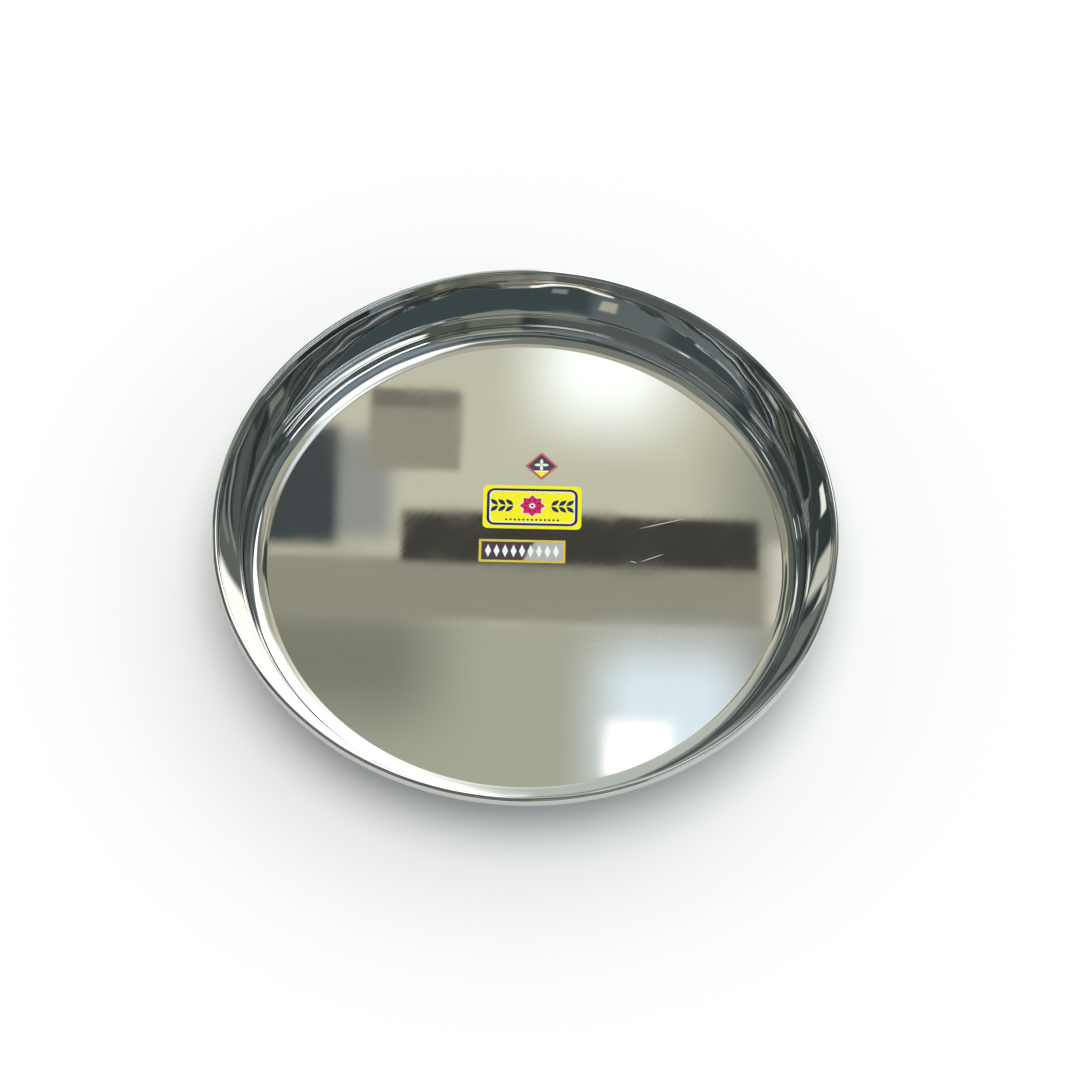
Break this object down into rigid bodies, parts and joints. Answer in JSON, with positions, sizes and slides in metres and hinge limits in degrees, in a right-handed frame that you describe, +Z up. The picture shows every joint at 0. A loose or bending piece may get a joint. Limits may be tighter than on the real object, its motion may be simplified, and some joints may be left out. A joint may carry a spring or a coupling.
{
  "type": "stainless steel plate",
  "caption": "Round serving plate pressed from polished stainless steel, with a flat base, a cove and ledge, a flared wall and a rolled rim, and adhesive labels on the base.",
  "frame": {"origin": "centre of the flat underside, where the plate rests", "axes": "+Z up out of the plate, +Y towards the side that the labels' upper edges face, +X to their right"},
  "size_m": [0.3556, 0.3556, 0.04],
  "materials": {
    "polished_steel": "mirror-polished stainless steel with fine buffing lines",
    "yellow_label_print": "glossy printed adhesive label",
    "diamond_label_print": "glossy printed adhesive label",
    "foil_label_print": "printed metal foil label"
  },
  "bodies": {
    "root": {"plate_body": "polished_steel", "yellow_label": "yellow_label_print", "diamond_label": "diamond_label_print", "foil_label": "foil_label_print"}
  },
  "joints": []
}
